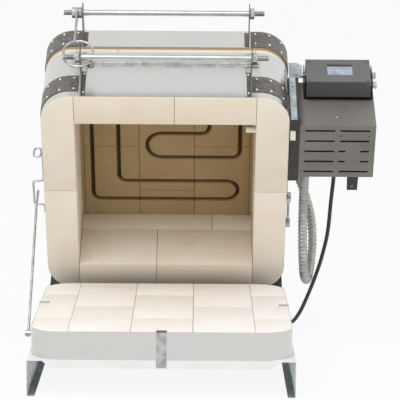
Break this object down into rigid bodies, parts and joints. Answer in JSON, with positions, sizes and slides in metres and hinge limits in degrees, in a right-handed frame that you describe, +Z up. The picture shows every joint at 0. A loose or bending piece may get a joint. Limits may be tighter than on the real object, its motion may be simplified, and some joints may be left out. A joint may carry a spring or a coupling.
{
  "type": "bead annealing kiln",
  "caption": "Table-top firebrick annealing kiln that opens like a clam, with a hinged ring and lid, lid heating element, handle rods, prop rod and side-mounted controller",
  "frame": {"origin": "on the floor, under the middle of the object's outline as it stands open, without the power cord", "axes": "+X to the object's right as seen from its front, +Y towards its hinge, +Z up"},
  "size_m": [0.683, 0.739, 0.6943],
  "materials": {
    "white_stand": "white powder coat",
    "galvanised": "galvanised sheet",
    "slab_brick": "white insulating firebrick, unfired",
    "ring_brick": "insulating firebrick",
    "lid_brick": "fired insulating firebrick",
    "stainless": "bright rolled stainless sheet",
    "dark_plate": "black powder coat, satin",
    "zinc_plate": "bright zinc plate",
    "rod_steel": "bright drawn steel",
    "box_paint": "grey powder coat",
    "sheath_ceramic": "unglazed mullite",
    "relay_plastic": "moulded",
    "conduit_metal": "grey ribbed conduit",
    "cord_jacket": "black cord jacket",
    "element_wire": "oxidised resistance wire",
    "case_plastic": "moulded, fine texture",
    "panel_sheet": "screened film on plastic",
    "display_glass": "clear window over a display"
  },
  "bodies": {
    "root": {"stand_top": "white_stand", "stand_side_left": "galvanised", "stand_side_right": "galvanised", "stand_screws": "zinc_plate", "base_slab": "slab_brick", "base_tray": "stainless", "base_front_cover": "stainless", "hold_down_clips": "galvanised", "hinge_stand_leaf": "dark_plate", "hinge_pin": "zinc_plate", "prop_pivot": "zinc_plate"},
    "ring": {"ring_bricks": "ring_brick", "ring_jacket": "stainless", "ring_corner_plates": "dark_plate", "ring_rivets": "stainless", "ring_brackets": "dark_plate", "ring_handle_rod": "rod_steel", "ring_handle_nuts": "zinc_plate", "hinge_ring_leaf": "dark_plate", "prop_loop": "zinc_plate", "jacket_clamps": "zinc_plate", "lid_hinge_ring_leaves": "dark_plate", "lid_hinge_pins": "zinc_plate", "prop_bar_lug": "zinc_plate", "control_standoff": "dark_plate", "control_arm": "galvanised", "thermocouple": "sheath_ceramic", "control_box": "box_paint", "control_box_back": "box_paint", "control_screws": "zinc_plate", "relay": "relay_plastic", "terminal_block": "sheath_ceramic", "controller_cradle": "dark_plate", "conduit": "conduit_metal", "box_connector": "zinc_plate", "cord_gland": "cord_jacket", "power_cord": "cord_jacket", "cord_coil": "cord_jacket", "plug": "cord_jacket"},
    "prop_rod": {"prop_rod": "zinc_plate"},
    "prop_bar": {"prop_bar": "zinc_plate"},
    "keeper_ring": {"keeper_ring": "zinc_plate"},
    "lid": {"lid_bricks": "lid_brick", "lid_cover": "stainless", "lid_corner_plates": "dark_plate", "lid_rivets": "stainless", "lid_brackets": "dark_plate", "lid_handle_rod": "rod_steel", "lid_handle_nuts": "zinc_plate", "lid_hinge_lid_leaves": "dark_plate", "lid_terminal_box": "stainless", "lid_connector": "zinc_plate", "element": "element_wire", "latch_plate": "zinc_plate"},
    "controller": {"controller_case": "case_plastic", "controller_panel": "panel_sheet", "controller_display": "display_glass", "left_pivot_screw": "zinc_plate"},
    "pivot_knob": {"pivot_knob": "case_plastic"},
    "tilt_knob": {"tilt_knob": "case_plastic"}
  },
  "joints": [
    {"name": "ring_lift", "type": "hinge", "parent": "root", "child": "ring", "pos_m": [-0.07445, 0.12799, 0.068], "axis": [1, 0, 0], "range_deg": [0, 60]},
    {"name": "lid_hinge", "type": "hinge", "parent": "ring", "child": "lid", "pos_m": [-0.07445, 0.31666, 0.17692], "axis": [-1, 0, 0], "range_deg": [0, 75], "deforming": ["conduit"]},
    {"name": "prop_rod_swing", "type": "hinge", "parent": "root", "child": "prop_rod", "pos_m": [-0.33055, -0.18401, 0.079], "axis": [1, 0, 0], "range_deg": [0, 134]},
    {"name": "prop_bar_swing", "type": "hinge", "parent": "ring", "child": "prop_bar", "pos_m": [-0.21945, -0.04591, 0.58121], "axis": [0, -0.5, 0.866], "range_deg": [0, 90]},
    {"name": "keeper_swing", "type": "hinge", "parent": "ring", "child": "keeper_ring", "pos_m": [-0.24345, -0.06996, 0.57887], "axis": [-1, 0, 0], "range_deg": [0, 8]},
    {"name": "controller_tilt", "type": "hinge", "parent": "ring", "child": "controller", "pos_m": [0.20205, 0.06336, 0.55295], "axis": [-1, 0, 0], "range_deg": [0, 15]},
    {"name": "pivot_knob_turn", "type": "hinge", "parent": "controller", "child": "pivot_knob", "pos_m": [0.32905, 0.06336, 0.55295], "axis": [1, 0, 0], "continuous": true},
    {"name": "tilt_knob_turn", "type": "hinge", "parent": "controller", "child": "tilt_knob", "pos_m": [0.32905, 0.03565, 0.53695], "axis": [1, 0, 0], "continuous": true}
  ]
}
